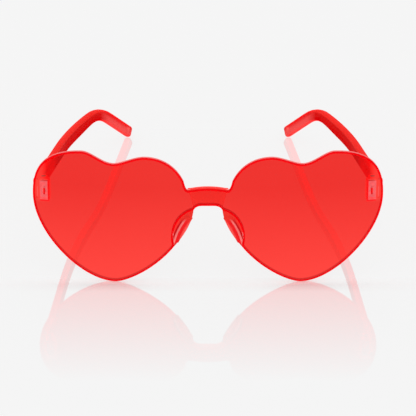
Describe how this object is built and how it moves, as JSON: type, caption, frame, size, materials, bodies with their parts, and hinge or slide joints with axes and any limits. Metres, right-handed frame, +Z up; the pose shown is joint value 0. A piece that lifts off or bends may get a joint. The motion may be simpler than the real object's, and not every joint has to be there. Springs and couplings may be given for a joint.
{
  "type": "heart shaped sunglasses",
  "caption": "Rimless sunglasses with a one-piece heart shaped tinted lens, bonded hinge blocks, nose pads and folding temples that hook over the ears.",
  "frame": {"origin": "middle of the footprint on the surface that the open sunglasses stand on", "axes": "+Z up, -Y the way the lens faces, +X the wearer's left"},
  "size_m": [0.148, 0.145, 0.0576],
  "materials": {
    "lens_plastic": "polished transparent red sheet",
    "saddle_plastic": "polished transparent red",
    "pad_plastic": "polished transparent red",
    "adhesive": "frosted cured adhesive",
    "block_plastic": "moulded transparent red",
    "temple_plastic": "polished transparent red",
    "screw_steel": "plated steel"
  },
  "bodies": {
    "front": {"lens_front": "lens_plastic", "nose_saddle": "saddle_plastic", "nose_pad_left": "pad_plastic", "nose_pad_right": "pad_plastic", "bond_left": "adhesive", "bond_right": "adhesive", "end_block_left": "block_plastic", "end_block_right": "block_plastic", "hinge_screw_left": "screw_steel", "hinge_screw_right": "screw_steel"},
    "temple_left": {"temple_left": "temple_plastic"},
    "temple_right": {"temple_right": "temple_plastic"}
  },
  "joints": [
    {"name": "temple_left_fold", "type": "hinge", "parent": "front", "child": "temple_left", "pos_m": [0.0697, -0.05782, 0.03866], "axis": [0, 0.135, 0.9908], "range_deg": [0, 77]},
    {"name": "temple_right_fold", "type": "hinge", "parent": "front", "child": "temple_right", "pos_m": [-0.0697, -0.05782, 0.03866], "axis": [0, -0.135, -0.9908], "range_deg": [0, 69]}
  ]
}
